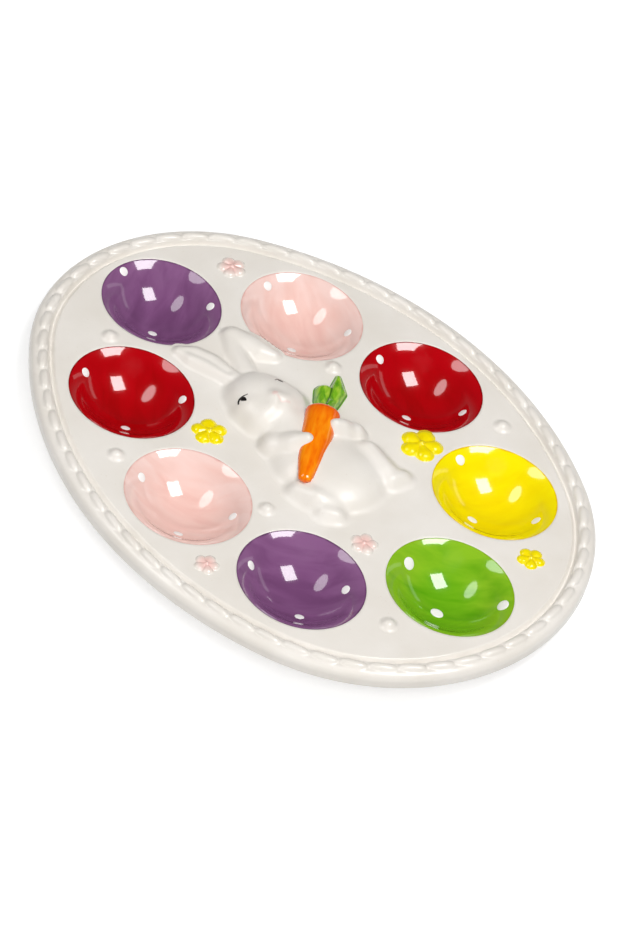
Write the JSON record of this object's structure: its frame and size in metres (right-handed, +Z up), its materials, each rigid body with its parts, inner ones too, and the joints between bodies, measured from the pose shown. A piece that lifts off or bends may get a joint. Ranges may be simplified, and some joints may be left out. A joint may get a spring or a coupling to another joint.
{
  "type": "deviled egg platter",
  "caption": "Egg-shaped glazed ceramic platter with oval colour-glazed wells for halved eggs, a stitched rim, a foot ring and a rabbit with a carrot in relief.",
  "frame": {"origin": "on the table, under the middle of the egg outline's box", "axes": "+Y along the platter to its narrow end, where the rabbit's ears lie; +Z up"},
  "size_m": [0.22, 0.29, 0.0316],
  "materials": {
    "body_glaze": "clear gloss glaze over warm white earthenware",
    "foot_bisque": "glazed wall, ground bare where it stands",
    "purple_glaze": "brushed gloss colour glaze",
    "pink_glaze": "brushed gloss colour glaze",
    "red_glaze": "brushed gloss colour glaze",
    "yellow_glaze": "brushed gloss colour glaze",
    "green_glaze": "brushed gloss colour glaze",
    "relief_glaze": "clear gloss glaze over white relief, with painted eyes and nose",
    "carrot_glaze": "gloss colour glaze",
    "leaf_glaze": "gloss colour glaze",
    "flower_yellow_glaze": "gloss colour glaze",
    "flower_pink_glaze": "gloss colour glaze"
  },
  "bodies": {
    "root": {"platter_floor": "body_glaze", "rim_border": "body_glaze", "foot_ring": "foot_bisque", "well_bowl_purple_top": "body_glaze", "well_bowl_pink_top": "body_glaze", "well_bowl_red_top": "body_glaze", "well_bowl_red_side": "body_glaze", "well_bowl_pink_side": "body_glaze", "well_bowl_yellow": "body_glaze", "well_bowl_purple_low": "body_glaze", "well_bowl_green": "body_glaze", "well_glaze_purple_top": "purple_glaze", "well_glaze_pink_top": "pink_glaze", "well_glaze_red_top": "red_glaze", "well_glaze_red_side": "red_glaze", "well_glaze_pink_side": "pink_glaze", "well_glaze_yellow": "yellow_glaze", "well_glaze_purple_low": "purple_glaze", "well_glaze_green": "green_glaze", "border_stitches": "body_glaze", "bead_ear": "body_glaze", "bead_left": "body_glaze", "bead_belly": "body_glaze", "bead_carrot": "body_glaze", "bead_right": "body_glaze", "bead_low": "body_glaze", "flower_yellow_left": "flower_yellow_glaze", "flower_yellow_right": "flower_yellow_glaze", "flower_yellow_low": "flower_yellow_glaze", "flower_pink_top": "flower_pink_glaze", "flower_pink_left": "flower_pink_glaze", "flower_pink_low": "flower_pink_glaze", "rabbit_trunk": "relief_glaze", "rabbit_head": "relief_glaze", "rabbit_left_ear": "relief_glaze", "rabbit_right_ear": "relief_glaze", "rabbit_left_arm": "relief_glaze", "rabbit_right_arm": "relief_glaze", "rabbit_left_thigh": "relief_glaze", "rabbit_right_thigh": "relief_glaze", "rabbit_left_foot": "relief_glaze", "rabbit_right_foot": "relief_glaze", "carrot_root": "carrot_glaze", "carrot_leaves": "leaf_glaze"}
  },
  "joints": []
}
